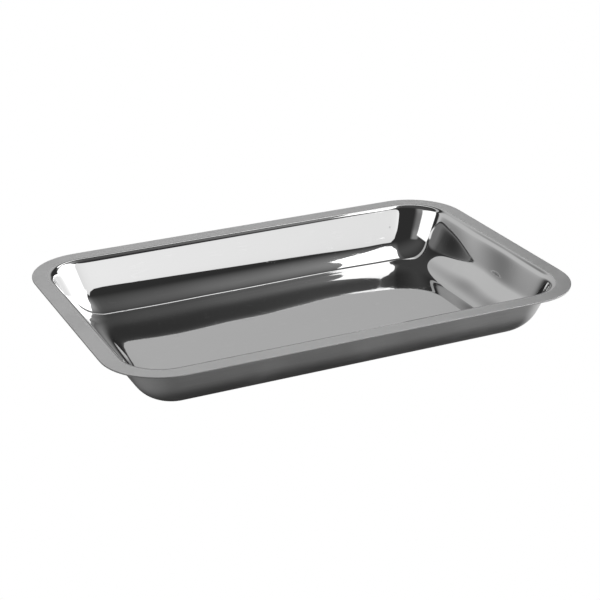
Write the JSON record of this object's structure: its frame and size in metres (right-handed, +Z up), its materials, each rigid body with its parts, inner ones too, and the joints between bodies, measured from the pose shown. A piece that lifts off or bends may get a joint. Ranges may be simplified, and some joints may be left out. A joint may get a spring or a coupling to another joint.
{
  "type": "instrument tray",
  "caption": "Shallow rectangular stainless steel instrument tray with a flat flange, leaning walls, rounded corners and a flat floor.",
  "frame": {"origin": "centre of the underside of the flat base, on the surface that the tray stands on", "axes": "+X along the long side, +Y across it, +Z up out of the mouth"},
  "size_m": [0.3, 0.1966, 0.0325],
  "materials": {
    "tray": "stainless steel, mirror polished inside, satin on the flange and the outside"
  },
  "bodies": {
    "root": {"tray": "tray"}
  },
  "joints": []
}
